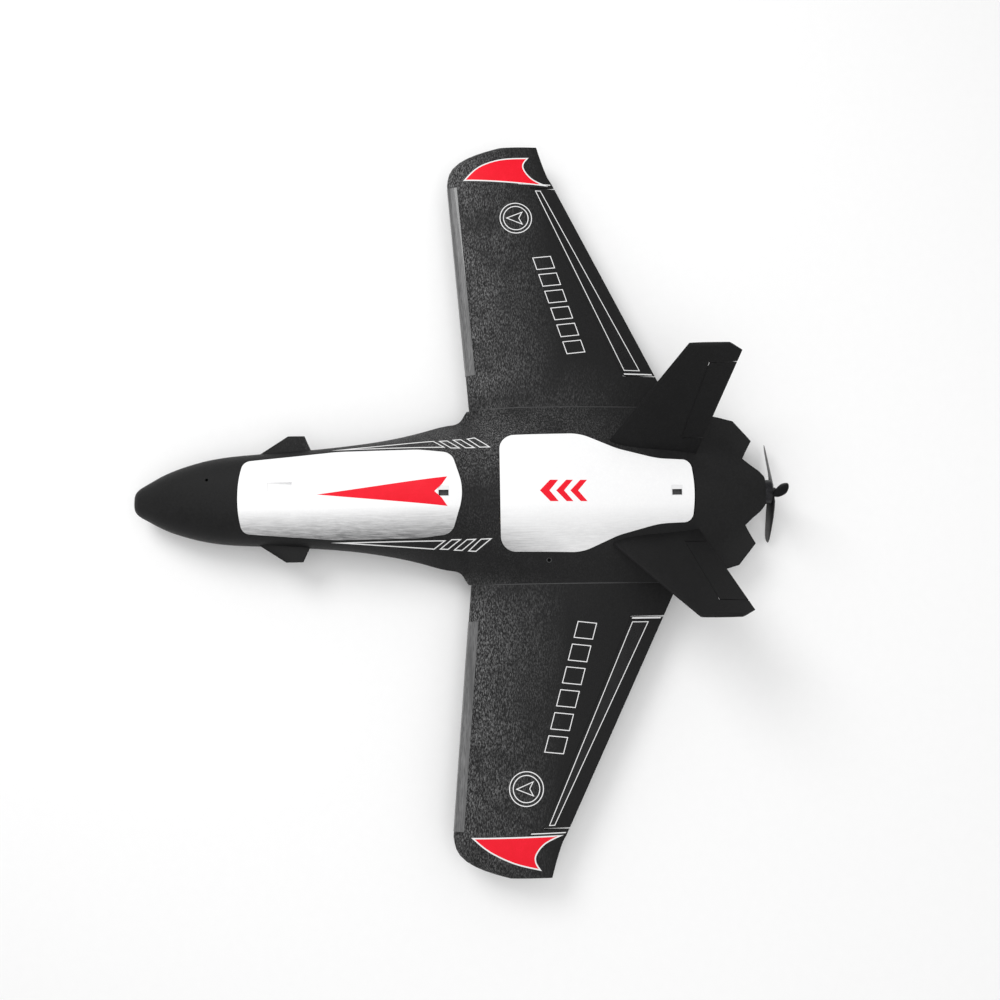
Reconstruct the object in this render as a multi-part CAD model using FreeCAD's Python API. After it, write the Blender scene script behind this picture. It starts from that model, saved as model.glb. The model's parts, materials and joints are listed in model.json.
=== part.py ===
import FreeCAD, Part
import math
import os

# Foam model airplane: twin-hatch pod fuselage blended into a swept wing, canards on the nose, a canted
# V tail and a pusher motor. All lengths are millimetres. Shapes are drawn about the propeller hub centre
# (X to the left wing, Y aft, Z up) and moved to the part's own frame when they are saved.

V = FreeCAD.Vector

# ---- driving dimensions --------------------------------------------------------------------------------
SPAN = 1255.0
NOSE_Y = -1093.0
TAIL_Y = 14.0
BELLY_Z = -60.0
SKID_THICK = 2.0
SKID_LET_IN = 1.6
HUB_AFT = -(NOSE_Y + TAIL_Y) / 2.0
HUB_UP = -BELLY_Z + SKID_THICK

FOAM_GAP = 1.0
GLUE_LINE = 0.04
PLAY = 0.3

# wing planform: leading edge, trailing edge, height of the chord plane
ROOT_X = 150.0
RIB_THICK = 1.8
TIP_START_X = 560.0
TIP_X = SPAN / 2.0
LE_Y0 = -504.9
LE_SWEEP = -0.0825
TE_Y0 = -91.3
TE_SWEEP = -0.490
PLANE_Z0 = -12.7
DIHEDRAL = 0.023
WING_THICK = 0.115
WING_CAMBER = 0.018
TRAILING_HALF = 0.9

# aileron hinge line and ends
AILERON_IN_X = 206.0
AILERON_OUT_X = 551.0
HINGE_IN_Y = -249.0
HINGE_OUT_Y = -403.0
AILERON_END_GAP = 2.4
HINGE_DEPTH = 1.0
HINGE_GAP = 0.8
BEVEL = math.tan(math.radians(34.0))
AILERON_LINK_X = 372.0

# V tail: cant from vertical, foot of the fin and its outline as (span, Y)
CANT = math.radians(42.5)
FIN_FOOT_X = 84.0
FIN_FOOT_Z = 37.0
FIN_SINK = 26.0
FIN_SPAN = 191.0
FIN_LE = (-277.0, -166.0)
FIN_TE = (-128.0, -77.3)
FIN_TOE = 7.0
FIN_THICK = 0.085
FIN_TIP_BAND = 5.0
FIN_SPAR_R = 2.0
RUDDER_IN_S = 10.0
RUDDER_OUT_S = 157.0
RUDDER_HINGE = (-162.0, -131.0)
RUDDER_LINK_S = 62.0

# control linkage: horn and servo arm radius, servo shaft distance ahead of the hinge, servo thickness
AILERON_HORN_R = 22.0
AILERON_REACH = 46.0
AILERON_SERVO = 12.0
RUDDER_HORN_R = 15.0
RUDDER_REACH = 36.0
RUDDER_SERVO = 8.0
RUDDER_SERVO_PROUD = 1.6
WIRE_R = 0.75
PLATE = 1.6

# spars
MAIN_SPAR_Y = -470.0
MAIN_SPAR_Z = -4.0
MAIN_SPAR_R = 5.0
MAIN_SPAR_HALF = 420.0
REAR_SPAR_Y = -288.0
REAR_SPAR_Z = -3.5
REAR_SPAR_R = 3.0
REAR_SPAR_HALF = 250.0
TUBE_WALL = 1.0
SLEEVE_R = 6.5
SLEEVE_WALL = 1.2

# hatches and bays
HATCH_THICK = 12.0
SEAT_GAP = 0.6
LEDGE = 12.0
FRONT_HINGE = (-906.0, 52.0)
REAR_HINGE = (-466.5, 69.5)
REAR_END_GAP = 1.0
FIN_CLEARANCE = 1.3
PULL_HALF = 9.0
PULL_LONG = 9.5
PULL_WALL = 1.4
PULL_DEEP = 9.0
FRONT_PULL_Y = -558.0
REAR_PULL_Y = -170.0
BAY_FLOOR_Z = -44.0
TRAY_TOP = BAY_FLOOR_Z + 3.2
BAY_HALF_X = 46.0
REAR_BAY_HALF_X = 64.0
ANTENNA_AT = (112.7, -386.0)
GROMMET_R = 4.3
NOSE_HOLE_AT = (-30.0, -956.0)

MAGNET_R = 3.0
MAGNET_H = 2.0
MAGNET_SET = 0.5
FRONT_MAGNET = (28.0, -539.5)
REAR_MAGNET = (24.0, -151.0)
FRONT_TONGUE_X = 23.0
REAR_TONGUE_X = 45.0
TONGUE_DEPTH = 6.5

# battery and motor leads
BATTERY_HALF = 21.5
BATTERY_HIGH = 34.0
PHASE_R = 1.6

# motor and propeller
MOTOR_R = 20.5
PROP_R = 97.0
BLADES = 3
PROP_TILT = 3.6
SHAFT_R = 2.5
SCREW_CIRCLE = 8.0
BELL_END = -5.0
HUB_R = 7.5

# fuselage stations: Y, half width, height of the widest line, top, bottom
STATIONS = [
    (-1093.0, 8.0, -13.0, -8.0, -18.0),
    (-1091.5, 16.0, -13.0, -2.5, -24.0),
    (-1086.0, 22.5, -13.0, 3.5, -30.0),
    (-1072.0, 31.0, -12.5, 11.5, -37.5),
    (-1048.0, 44.0, -12.0, 22.5, -45.5),
    (-1010.0, 59.0, -10.0, 34.5, -52.5),
    (-955.0, 72.2, -6.0, 45.0, -57.5),
    (-885.0, 78.6, -2.0, 53.0, -59.5),
    (-800.0, 83.5, 1.0, 57.5, -60.0),
    (-720.0, 90.5, 2.0, 64.0, -60.0),
    (-650.0, 101.5, 0.0, 72.5, -60.0),
    (-590.0, 116.0, -3.5, 78.5, -60.0),
    (-555.0, 125.0, -7.0, 77.5, -60.0),
    (-533.0, 132.5, -8.6, 74.0, -60.0),
    (-520.0, 151.0, -9.2, 71.8, -60.0),
    (-505.0, 152.0, -9.0, 70.8, -60.0),
    (-470.0, 152.0, -8.8, 69.3, -60.0),
    (-420.0, 152.0, -8.6, 67.0, -60.0),
    (-360.0, 152.0, -8.6, 60.5, -58.5),
    (-300.0, 152.0, -8.8, 53.0, -53.5),
    (-235.0, 152.0, -8.6, 46.5, -46.0),
    (-165.0, 152.0, -7.5, 40.8, -38.0),
    (-110.0, 144.0, -5.0, 35.5, -31.5),
    (-60.0, 138.0, -2.0, 28.5, -27.0),
    (-17.0, 134.0, -1.0, 22.5, -22.5),
]
EDGE_POD = 1.5
EDGE_DECK = 3.0
PROFILE_POINTS = 25


# ---- small helpers -------------------------------------------------------------------------------------
def save(node, shape):
    """Moves a shape from hub coordinates to the part's frame and writes it."""
    moved = shape.copy()
    moved.translate(V(0.0, HUB_AFT, HUB_UP))
    moved.exportStep(os.path.join("parts", node + ".step"))


def box(x0, x1, y0, y1, z0, z1):
    return Part.makeBox(x1 - x0, y1 - y0, z1 - z0, V(x0, y0, z0))


def rod(radius, start, end):
    return Part.makeCylinder(radius, (end - start).Length, start, end - start)


def tube(radius, wall, start, end):
    return rod(radius, start, end).cut(rod(radius - wall, start, end))


def join(shapes):
    first = shapes[0]
    return first.fuse(shapes[1:]).removeSplitter() if len(shapes) > 1 else first


def mirror(shape):
    return shape.mirror(V(0.0, 0.0, 0.0), V(1.0, 0.0, 0.0))


def both_sides(name, shape):
    save(name + "_left", shape)
    save(name + "_right", mirror(shape))


def lerp(a, b, t):
    return a + (b - a) * t


def smooth(low, high, value):
    t = min(1.0, max(0.0, (value - low) / (high - low)))
    return t * t * (3.0 - 2.0 * t)


def rounded(corners, z):
    """Closed wire at height z through (x, y, radius) corners, each rounded by an arc of its own radius."""
    count = len(corners)
    trimmed = []
    for i in range(count):
        before = corners[i - 1]
        here = corners[i]
        after = corners[(i + 1) % count]
        p = V(here[0], here[1], z)
        a = (V(before[0], before[1], z) - p).normalize()
        b = (V(after[0], after[1], z) - p).normalize()
        half = a.getAngle(b) / 2.0
        cut = here[2] / math.tan(half)
        middle = p + (a + b).normalize() * (here[2] / math.sin(half) - here[2])
        trimmed.append((p + a * cut, middle, p + b * cut))
    edges = []
    for i in range(count):
        start, middle, end = trimmed[i]
        edges.append(Part.Arc(start, middle, end).toShape())
        edges.append(Part.makeLine(end, trimmed[(i + 1) % count][0]))
    return Part.Wire(edges)


def symmetric(half):
    """Full outline from the corners of its +X half, front to back."""
    back = [(-x, y, r) for x, y, r in reversed(half) if x > 0.0]
    return half + back


def prism(wire, height):
    return Part.Face(wire).extrude(V(0.0, 0.0, height))


def polygon_prism(points, z0, z1):
    loop = [V(x, y, z0) for x, y in points]
    return Part.Face(Part.makePolygon(loop + [loop[0]])).extrude(V(0.0, 0.0, z1 - z0))


# ---- wing section --------------------------------------------------------------------------------------
def half_thickness(s):
    """Half thickness of the section over its chord, at chord fraction s, for a thickness ratio of one."""
    return 5.0 * (0.2969 * math.sqrt(s) - 0.1260 * s - 0.3516 * s**2 + 0.2843 * s**3 - 0.1036 * s**4)


def foil_wire(nose, chord_dir, up_dir, chord, thick, camber, trailing, steps=18):
    """Closed section from the trailing edge over the top, round the nose and back below."""
    spots = [(1.0 - math.cos(math.pi * i / steps)) / 2.0 for i in range(steps + 1)]
    points = []
    for side, order in ((1.0, reversed(spots)), (-1.0, spots[1:])):
        for s in order:
            rise = side * (half_thickness(s) * thick * chord + trailing * s)
            lift = 4.0 * camber * chord * s * (1.0 - s)
            points.append(nose + chord_dir * (s * chord) + up_dir * (rise + lift))
    return Part.makePolygon(points + [points[0]])


def leading(x):
    return LE_Y0 + LE_SWEEP * x


def trailing(x):
    return TE_Y0 + TE_SWEEP * x


def plane_z(x):
    return PLANE_Z0 + DIHEDRAL * x


def wing_wire(x, grow=0.0, start=None, end=None, thick=WING_THICK):
    first = leading(x) if start is None else start
    last = trailing(x) if end is None else end
    nose = V(x, first - grow, plane_z(x))
    chord = last - first + grow
    ratio = thick + 2.0 * grow / chord
    return foil_wire(nose, V(0, 1, 0), V(0, 0, 1), chord, ratio, WING_CAMBER, TRAILING_HALF)


def wing_edge_half(y):
    """Half thickness and mid height of the wing section where it meets the fuselage side."""
    chord = trailing(ROOT_X) - leading(ROOT_X)
    s = min(1.0, max(0.0, (y - leading(ROOT_X)) / chord))
    half = half_thickness(s) * WING_THICK * chord + TRAILING_HALF * s
    return half, plane_z(ROOT_X) + 4.0 * WING_CAMBER * chord * s * (1.0 - s)


# ---- fuselage skin -------------------------------------------------------------------------------------
def skin_edge(y, half):
    """Height and half thickness of the skin's edge line: pod parting line, wing root, tail deck."""
    root_half, root_mid = wing_edge_half(y)
    if y < leading(ROOT_X):
        return half, EDGE_POD
    if y > trailing(ROOT_X):
        return half, EDGE_DECK
    fade = smooth(-230.0, -165.0, y)
    return lerp(root_mid, half, fade), max(lerp(EDGE_POD, EDGE_DECK, fade), root_half)


def crown(t, y, lower):
    """Share of the crown's height left at fraction t of the half width: oval pod, then a bell."""
    bell = smooth(-740.0, -470.0, y)
    tail = smooth(-150.0, -17.0, y)
    power = lerp(2.5, 2.0, bell)
    full = lerp(0.5, 1.9 if lower else 1.3, bell) + 7.0 * tail
    return max(0.0, 1.0 - t**power) ** full


def skin_curve(station, lower):
    y, wide, mid, top, bottom = station
    mid, edge = skin_edge(y, mid)
    side = -1.0 if lower else 1.0
    rim = mid + side * edge
    peak = bottom if lower else top
    hump = min(wide, lerp(136.0, 152.0, smooth(-535.0, -440.0, y)))
    points = []
    for i in range(PROFILE_POINTS):
        u = -math.cos(math.pi * i / (PROFILE_POINTS - 1))
        share = crown(min(1.0, abs(u) * wide / hump), y, lower)
        points.append(V(wide * u, y, rim + (peak - rim) * share))
    curve = Part.BSplineCurve()
    curve.interpolate(Points=points, Parameters=[float(i) for i in range(PROFILE_POINTS)])
    return curve.toShape(), points[0], points[-1], mid


def skin_loft(lower):
    wires = []
    for station in STATIONS:
        curve, right, left, mid = skin_curve(station, lower)
        level = mid - GLUE_LINE if lower else mid
        low_left = V(left.x, left.y, level)
        low_right = V(right.x, right.y, level)
        edges = [curve, Part.makeLine(left, low_left), Part.makeLine(low_left, low_right)]
        edges.append(Part.makeLine(low_right, right))
        wires.append(Part.Wire(edges))
    return Part.makeLoft(wires, True, False)


def plan_trim():
    """Centre body seen from above: straight wing roots, notched tail deck, rounded motor boss."""
    half = [
        (ROOT_X, NOSE_Y - 5.0),
        (ROOT_X, -167.0),
        (131.0, -87.0),
        (124.0, -63.0),
        (88.0, -34.0),
        (57.0, -51.0),
        (45.0, -38.0),
        (34.0, -25.0),
        (25.0, -18.5),
        (21.0, -17.0),
    ]
    return polygon_prism(half + [(-x, y) for x, y in reversed(half)], -150.0, 150.0)


def centre_body(lower):
    return skin_loft(lower).common(plan_trim())


# ---- hatches -------------------------------------------------------------------------------------------
def front_outline(z, shorter=0.0):
    front = FRONT_HINGE[0]
    half = [(0.0, front, 300.0), (62.0, front + 9.0, 15.0), (75.5, -740.0, 250.0)]
    half += [(75.5, -600.0, 150.0), (69.0, -545.0 - shorter, 24.0), (0.0, -522.5 - shorter, 90.0)]
    return rounded(symmetric(half), z)


def rear_outline(z, shorter=0.0):
    half = [(99.0, REAR_HINGE[0], 26.0), (101.5, -330.0, 80.0), (74.0, -268.0, 130.0)]
    half += [(56.0, -200.0, 130.0), (53.5, -142.5 - shorter, 17.0), (0.0, -137.0 - shorter, 300.0)]
    return rounded(symmetric(half), z)


def hatch(outline, upper, shorter):
    """Foam lid that follows the skin, one wall thick, smaller than its opening by the gap all round."""
    lid = upper.common(prism(outline(-20.0, shorter).makeOffset2D(-FOAM_GAP), 150.0))
    floor = upper.copy()
    floor.translate(V(0.0, 0.0, -HATCH_THICK))
    return biggest(lid.cut(floor))


def hatch_opening(outline, upper):
    """What the lid's seat takes out of the skin."""
    seat = upper.copy()
    seat.translate(V(0.0, 0.0, -HATCH_THICK - SEAT_GAP))
    return upper.common(prism(outline(-20.0), 150.0)).cut(seat)


def biggest(shape):
    return max(shape.Solids, key=lambda solid: solid.Volume)


def battery_bay():
    inner = prism(front_outline(0.0).makeOffset2D(-LEDGE), 60.0)
    inner = inner.common(box(-80.0, 80.0, -880.0, -545.0, 0.0, 70.0))
    return join([inner, box(-BAY_HALF_X, BAY_HALF_X, -860.0, -560.0, BAY_FLOOR_Z, 1.0)])


def electronics_bay():
    inner = prism(rear_outline(-6.0).makeOffset2D(-LEDGE), 60.0)
    inner = inner.common(box(-90.0, 90.0, -440.0, -305.0, -6.0, 60.0))
    return join([inner, box(-REAR_BAY_HALF_X, REAR_BAY_HALF_X, -440.0, -305.0, -34.0, -5.0)])


def motor_wire_tunnel():
    return box(-13.0, 13.0, -306.0, -23.0, -4.5, 4.5)


def pull_box(y, z, wall, top):
    """Block about a finger pull, smaller all round by the wall and rising above the pull by top."""
    half = PULL_HALF - wall
    long = PULL_LONG - wall
    return box(-half, half, y - long, y + long, z - PULL_DEEP + wall, z + top)


def finger_pull(y, z):
    """Moulded scoop let into a hatch: a cup with a lip to hook a finger under."""
    cup = pull_box(y, z, 0.0, 0.0).cut(pull_box(y, z, PULL_WALL, 1.0))
    lip = box(-PULL_HALF, -2.0, y - PULL_LONG, y + PULL_LONG, z - 1.6, z)
    return join([cup, lip])


def vent_recess(z):
    """Ramped scoop in the front hatch, deepest in its rear right corner."""
    corner = V(8.0, -852.0, z)
    floor = Part.makeBox(80.0, 80.0, 30.0, corner - V(80.0, 0.0, 30.0))
    floor.rotate(corner, V(1, 0, 0), -5.0)
    floor.rotate(corner, V(0, 1, 0), -5.0)
    return box(-22.0, 8.0, -852.0, -811.0, z - 12.0, z + 10.0).cut(floor)


def hatch_tongue(x, y, z):
    """Plywood tongue glued under a hatch's front edge, which hooks below the skin."""
    return box(x - 9.0, x + 9.0, y - 7.0, y + 22.0, z - 2.0, z)


# ---- wing ----------------------------------------------------------------------------------------------
def wing_blank():
    """Whole panel before cutting: straight main part and a tip whose nose sweeps back along a curve."""
    reach = TIP_X - TIP_START_X
    wires = [wing_wire(ROOT_X + RIB_THICK)]
    for share in (0.0, 0.15, 0.3, 0.45, 0.6, 0.72, 0.82, 0.9, 0.96, 1.0):
        x = TIP_START_X + reach * share
        nose = leading(TIP_START_X) + 8.0 * share + 84.0 * share**3.2
        tail = lerp(trailing(TIP_START_X), -391.0, share ** 0.75)
        thick = WING_THICK * (1.0 - 0.62 * share**2.6) * (1.0 + 0.28 * share)
        wires.append(wing_wire(x, 0.0, nose, tail, thick))
    return Part.makeLoft(wires, True, True)


def surface_z(x, y, side):
    """Height of the wing's upper (+1) or lower (-1) surface."""
    chord = trailing(x) - leading(x)
    s = (y - leading(x)) / chord
    rise = half_thickness(s) * WING_THICK * chord + TRAILING_HALF * s
    return plane_z(x) + 4.0 * WING_CAMBER * chord * s * (1.0 - s) + side * rise


def hinge_y(x):
    share = (x - AILERON_IN_X) / (AILERON_OUT_X - AILERON_IN_X)
    return lerp(HINGE_IN_Y, HINGE_OUT_Y, share)


def aileron_frame():
    """Axes on the hinge line at the linkage: local X outboard, Y forward, Z down through the wing."""
    ends = []
    for x in (AILERON_IN_X, AILERON_OUT_X):
        y = hinge_y(x)
        ends.append(V(x, y, surface_z(x, y, 1.0) - HINGE_DEPTH))
    along = (ends[1] - ends[0]).normalize()
    forward = V(0, 0, -1).cross(along).normalize()
    share = (AILERON_LINK_X - AILERON_IN_X) / (AILERON_OUT_X - AILERON_IN_X)
    origin = ends[0] + (ends[1] - ends[0]) * share
    return FreeCAD.Placement(origin, FreeCAD.Rotation(along, forward, along.cross(forward), "XYZ"))


def placed(shape, frame):
    moved = shape.copy()
    moved.Placement = frame.multiply(moved.Placement)
    return moved


def side_profile(points, half_length):
    """Extrusion along local X of a (Y, Z) outline, centred on the linkage."""
    loop = [V(-half_length, y, z) for y, z in points]
    return Part.Face(Part.makePolygon(loop + [loop[0]])).extrude(V(2.0 * half_length, 0.0, 0.0))


def surface_blocks(frame, half_length):
    """Space taken by a control surface, and the larger space cut out of the fixed part for it."""
    depth = 40.0
    gap = HINGE_GAP / 2.0
    back = [(-170.0, depth), (-170.0, -depth)]
    own = side_profile([(-gap, -depth), (-gap, 0.0), (-gap - depth * BEVEL, depth)] + back, half_length)
    slot = side_profile([(gap, -depth), (gap, depth)] + back, half_length)
    return placed(own, frame), placed(slot, frame)


def wing_and_aileron(blank):
    frame = aileron_frame()
    own, slot = surface_blocks(frame, 300.0)
    cell = box(AILERON_IN_X, AILERON_OUT_X, -600.0, 0.0, -80.0, 80.0)
    inner = AILERON_IN_X + AILERON_END_GAP
    outer = AILERON_OUT_X - AILERON_END_GAP
    surface = blank.common(own.common(box(inner, outer, -600.0, 0.0, -80.0, 80.0)))
    return blank.cut(slot.common(cell)), biggest(surface)


def spar_channels():
    main = rod(MAIN_SPAR_R + PLAY, *spar_ends(MAIN_SPAR_HALF, MAIN_SPAR_Y, MAIN_SPAR_Z))
    rear = rod(REAR_SPAR_R + PLAY, *spar_ends(REAR_SPAR_HALF, REAR_SPAR_Y, REAR_SPAR_Z))
    return main, rear


def edge_guard():
    """Glossy strip bonded round the leading edge."""
    outer = Part.makeLoft([wing_wire(x, 0.8) for x in (212.0, 552.0)], True, True)
    inner = Part.makeLoft([wing_wire(x) for x in (205.0, TIP_START_X)], True, True)
    corners = ((212.0, -8.0), (212.0, 17.0), (552.0, 17.0), (552.0, -8.0))
    reach = polygon_prism([(x, leading(x) + d) for x, d in corners], -60.0, 60.0)
    return biggest(outer.cut(inner).common(reach))


def root_rib():
    return Part.makeLoft([wing_wire(ROOT_X + 0.1), wing_wire(ROOT_X + RIB_THICK - 0.1)], True, True)


# ---- servo linkage, in the local axes of its hinge -----------------------------------------------------
def servo(reach, depth, thick):
    """Micro servo lying on its side: case, mounting ears and output shaft along local X."""
    low = depth - thick / 2.0
    high = depth + thick / 2.0
    front = reach + 2.4 * thick
    case = box(-27.0, -3.5, reach - 6.5, front - 6.5, low, high)
    ears = box(-13.0, -11.4, reach - 10.0, front - 3.0, low, high)
    shaft = rod(1.9, V(-3.5, reach, depth), V(-1.1, reach, depth))
    return join([case, ears, shaft])


def servo_pocket(reach, depth, thick):
    """Room for the servo and for its arm to swing, open through the skin."""
    low = depth - thick / 2.0 - 0.4
    return box(-27.4, 3.4, reach - 10.4, reach + 2.4 * thick - 2.6, low, depth + 40.0)


def servo_arm(reach, depth, radius):
    """Tapered arm with a hub round the shaft end and one hole for the pushrod."""
    tip = depth + radius
    blade = [(reach - 2.6, depth), (reach + 2.6, depth)]
    blade += [(reach + 2.0, tip + 2.2), (reach - 2.0, tip + 2.2)]
    arm = side_profile(blade, PLATE / 2.0)
    hub = rod(3.0, V(-PLATE / 2.0 - 0.2, reach, depth), V(PLATE / 2.0 + 0.6, reach, depth))
    hole = rod(WIRE_R + 0.08, V(-3.0, reach, tip), V(3.0, reach, tip))
    return join([arm, hub]).cut(hole)


def pushrod(reach, depth, radius):
    """Music wire with a bent pin at each end, through the arm and, with play, through the horn."""
    level = PLATE / 2.0 + WIRE_R + 0.5
    tip = V(level, reach, depth + radius)
    far = V(level, 0.0, radius)
    body = rod(WIRE_R, far, tip)
    pins = [rod(WIRE_R, V(-PLATE, p.y, p.z), V(level, p.y, p.z)) for p in (tip, far)]
    knuckles = [Part.makeSphere(WIRE_R, p) for p in (tip, far)]
    return join([body] + pins + knuckles)


def control_horn(radius, skin_depth):
    """Moulded horn: base plate and a leaning blade that holds the pushrod over the hinge."""
    top = radius - 3.5
    blade = [(-27.0, skin_depth - 5.0), (-12.0, skin_depth - 3.0), (-4.0, top), (3.0, top)]
    blade += [(3.0, radius + 3.0), (-4.0, radius + 3.0), (-27.0, skin_depth + 1.0)]
    base = box(-7.0, 7.0, -28.0, -12.5, skin_depth - 3.4, skin_depth - 1.4)
    hole = rod(WIRE_R + PLAY, V(-3.0, 0.0, radius), V(3.0, 0.0, radius))
    return join([side_profile(blade, PLATE / 2.0), base]).cut(hole)


def aileron_depths():
    """Depth of the lower skin below the hinge axis, at the horn and at the servo shaft."""
    frame = aileron_frame()
    depths = []
    for reach in (-18.0, AILERON_REACH):
        spot = frame.multVec(V(0.0, reach, 0.0))
        depths.append(spot.z - surface_z(spot.x, spot.y, -1.0))
    return depths


# ---- V tail --------------------------------------------------------------------------------------------
SPANWISE = V(math.sin(CANT), 0.0, math.cos(CANT))
OUTWARD = V(math.cos(CANT), 0.0, -math.sin(CANT))


def fin_point(s, y, depth=0.0):
    """Point on the fin's middle surface; the root is toed in and the tip is not."""
    share = s / FIN_SPAN
    lead = lerp(FIN_LE[0], FIN_LE[1], share)
    trail = lerp(FIN_TE[0], FIN_TE[1], share)
    toe = FIN_TOE * (1.0 - share) * (1.0 - 2.0 * (y - lead) / (trail - lead))
    return V(FIN_FOOT_X + toe, y, FIN_FOOT_Z) + SPANWISE * s + OUTWARD * depth


def fin_half(s, y):
    share = s / FIN_SPAN
    lead = lerp(FIN_LE[0], FIN_LE[1], share)
    trail = lerp(FIN_TE[0], FIN_TE[1], share)
    spot = (y - lead) / (trail - lead)
    return half_thickness(spot) * FIN_THICK * (trail - lead) + 0.6 * spot


def fin_wire(s, thick=FIN_THICK):
    share = s / FIN_SPAN
    nose = fin_point(s, lerp(FIN_LE[0], FIN_LE[1], share))
    tail = fin_point(s, lerp(FIN_TE[0], FIN_TE[1], share))
    chord = (tail - nose).Length
    return foil_wire(nose, (tail - nose).normalize(), OUTWARD * -1.0, chord, thick, 0.0, 0.6)


def fin_slab(outline):
    """Outline in (span, Y) carried right through the fin's thickness."""
    foot = V(FIN_FOOT_X, 0.0, FIN_FOOT_Z) - OUTWARD * 40.0
    loop = [foot + SPANWISE * s + V(0.0, y, 0.0) for s, y in outline]
    return Part.Face(Part.makePolygon(loop + [loop[0]])).extrude(OUTWARD * 80.0)


def fin_blank():
    top = FIN_SPAN - FIN_TIP_BAND
    wires = [fin_wire(s) for s in (-FIN_SINK, 40.0, 110.0, top)]
    wires += [fin_wire(lerp(top, FIN_SPAN, t), FIN_THICK * (1.0 - 0.6 * t**2)) for t in (0.4, 0.7, 1.0)]
    fin = Part.makeLoft(wires, True, True)
    notch = fin_slab([(191.5, -103.0), (174.0, -76.0), (200.0, -60.0), (205.0, -103.0)])
    return biggest(fin.cut(notch))


def rudder_frame():
    ends = []
    for s, y in zip((RUDDER_IN_S, RUDDER_OUT_S), RUDDER_HINGE):
        ends.append(fin_point(s, y, HINGE_DEPTH - fin_half(s, y)))
    along = (ends[1] - ends[0]).normalize()
    forward = OUTWARD.cross(along).normalize()
    share = (RUDDER_LINK_S - RUDDER_IN_S) / (RUDDER_OUT_S - RUDDER_IN_S)
    origin = ends[0] + (ends[1] - ends[0]) * share
    return FreeCAD.Placement(origin, FreeCAD.Rotation(along, forward, along.cross(forward), "XYZ"))


def span_cell(s0, s1):
    """Slab across the fin between two span stations, its ends parallel to the chord."""
    return fin_slab([(s0, -330.0), (s1, -330.0), (s1, 0.0), (s0, 0.0)])


def fin_and_rudder(blank):
    own, slot = surface_blocks(rudder_frame(), 110.0)
    surface = blank.common(own.common(span_cell(RUDDER_IN_S + 1.6, RUDDER_OUT_S - 1.6)))
    return blank.cut(slot.common(span_cell(RUDDER_IN_S, RUDDER_OUT_S))), biggest(surface)


def rudder_depths():
    """Depth of the outer skin below the hinge axis, at the horn and at the servo shaft."""
    share = (RUDDER_LINK_S - RUDDER_IN_S) / (RUDDER_OUT_S - RUDDER_IN_S)
    line = lerp(RUDDER_HINGE[0], RUDDER_HINGE[1], share)
    axis_depth = fin_half(RUDDER_LINK_S, line) - HINGE_DEPTH
    return [axis_depth + fin_half(RUDDER_LINK_S, line - reach) for reach in (0.0, RUDDER_REACH)]


def fin_spar():
    """Carbon rod glued in the fin ahead of its servo, its foot down in the fuselage."""
    return rod(FIN_SPAR_R, fin_point(-FIN_SINK + 2.0, -238.0), fin_point(118.0, -192.0))


# ---- canards -------------------------------------------------------------------------------------------
def canard():
    """Small swept foreplane with rounded edges, its root let into the pod side."""
    sections = [(66.0, -893.0, -779.0, 7.0), (90.0, -856.0, -791.0, 5.6), (108.0, -828.0, -799.0, 4.2)]
    wires = []
    for x, lead, trail, thick in sections:
        nose = V(x, lead, 10.0)
        chord = trail - lead
        wires.append(foil_wire(nose, V(0, 1, 0), V(0, 0, 1), chord, thick / chord, 0.0, 0.8))
    return Part.makeLoft(wires, True, True)


# ---- power ---------------------------------------------------------------------------------------------
def shaft_rod(radius, front, back, at=V(0.0, 0.0, 0.0)):
    """Cylinder along the motor's axis, or beside it, between two Y positions."""
    return rod(radius, V(0.0, front, 0.0) + at, V(0.0, back, 0.0) + at)


def spoke(radius, degrees):
    angle = math.radians(degrees)
    return V(radius * math.cos(angle), 0.0, radius * math.sin(angle))


def screw_spots():
    return [spoke(SCREW_CIRCLE, 45.0 + 90.0 * i) for i in range(4)]


def motor_mount():
    """Plywood disc that the motor is screwed to, let into the end of the fuselage."""
    holes = [shaft_rod(1.6, -24.0, -19.0, at) for at in screw_spots()]
    return shaft_rod(20.0, -23.0, -20.0).cut(holes + [shaft_rod(4.0, -24.0, -19.0)])


def motor_screws():
    shapes = []
    for at in screw_spots():
        shapes.append(shaft_rod(2.7, -25.0, -23.0, at).fuse(shaft_rod(1.45, -23.0, -18.0, at)))
    return Part.makeCompound(shapes)


def motor_stator():
    """Fixed half of the motor: base plate, wound core of twelve teeth and the bearing tube."""
    base = shaft_rod(12.0, -20.0, -17.6).cut([shaft_rod(1.5, -21.0, -17.9, at) for at in screw_spots()])
    grooves = [shaft_rod(1.1, -16.4, -7.0, spoke(12.0, 30.0 * i)) for i in range(12)]
    tips = [shaft_rod(1.5, -18.2, -17.0, at) for at in screw_spots()]
    core = shaft_rod(13.5, -17.6, -8.0).cut(grooves + tips)
    bearing = shaft_rod(5.0, -17.6, -7.4)
    return join([base, core, bearing]).cut(shaft_rod(SHAFT_R + 0.05, -21.0, 0.0))


def motor_bell():
    """Rotating can: magnet ring, vented end cap and the shaft it is pressed on."""
    vents = [shaft_rod(3.0, -8.0, -4.0, spoke(13.0, 40.0 * i)) for i in range(9)]
    can = shaft_rod(MOTOR_R, -17.0, BELL_END).cut([shaft_rod(MOTOR_R - 1.6, -18.0, -6.8)] + vents)
    return join([can, shaft_rod(SHAFT_R, -19.5, BELL_END)])


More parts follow.
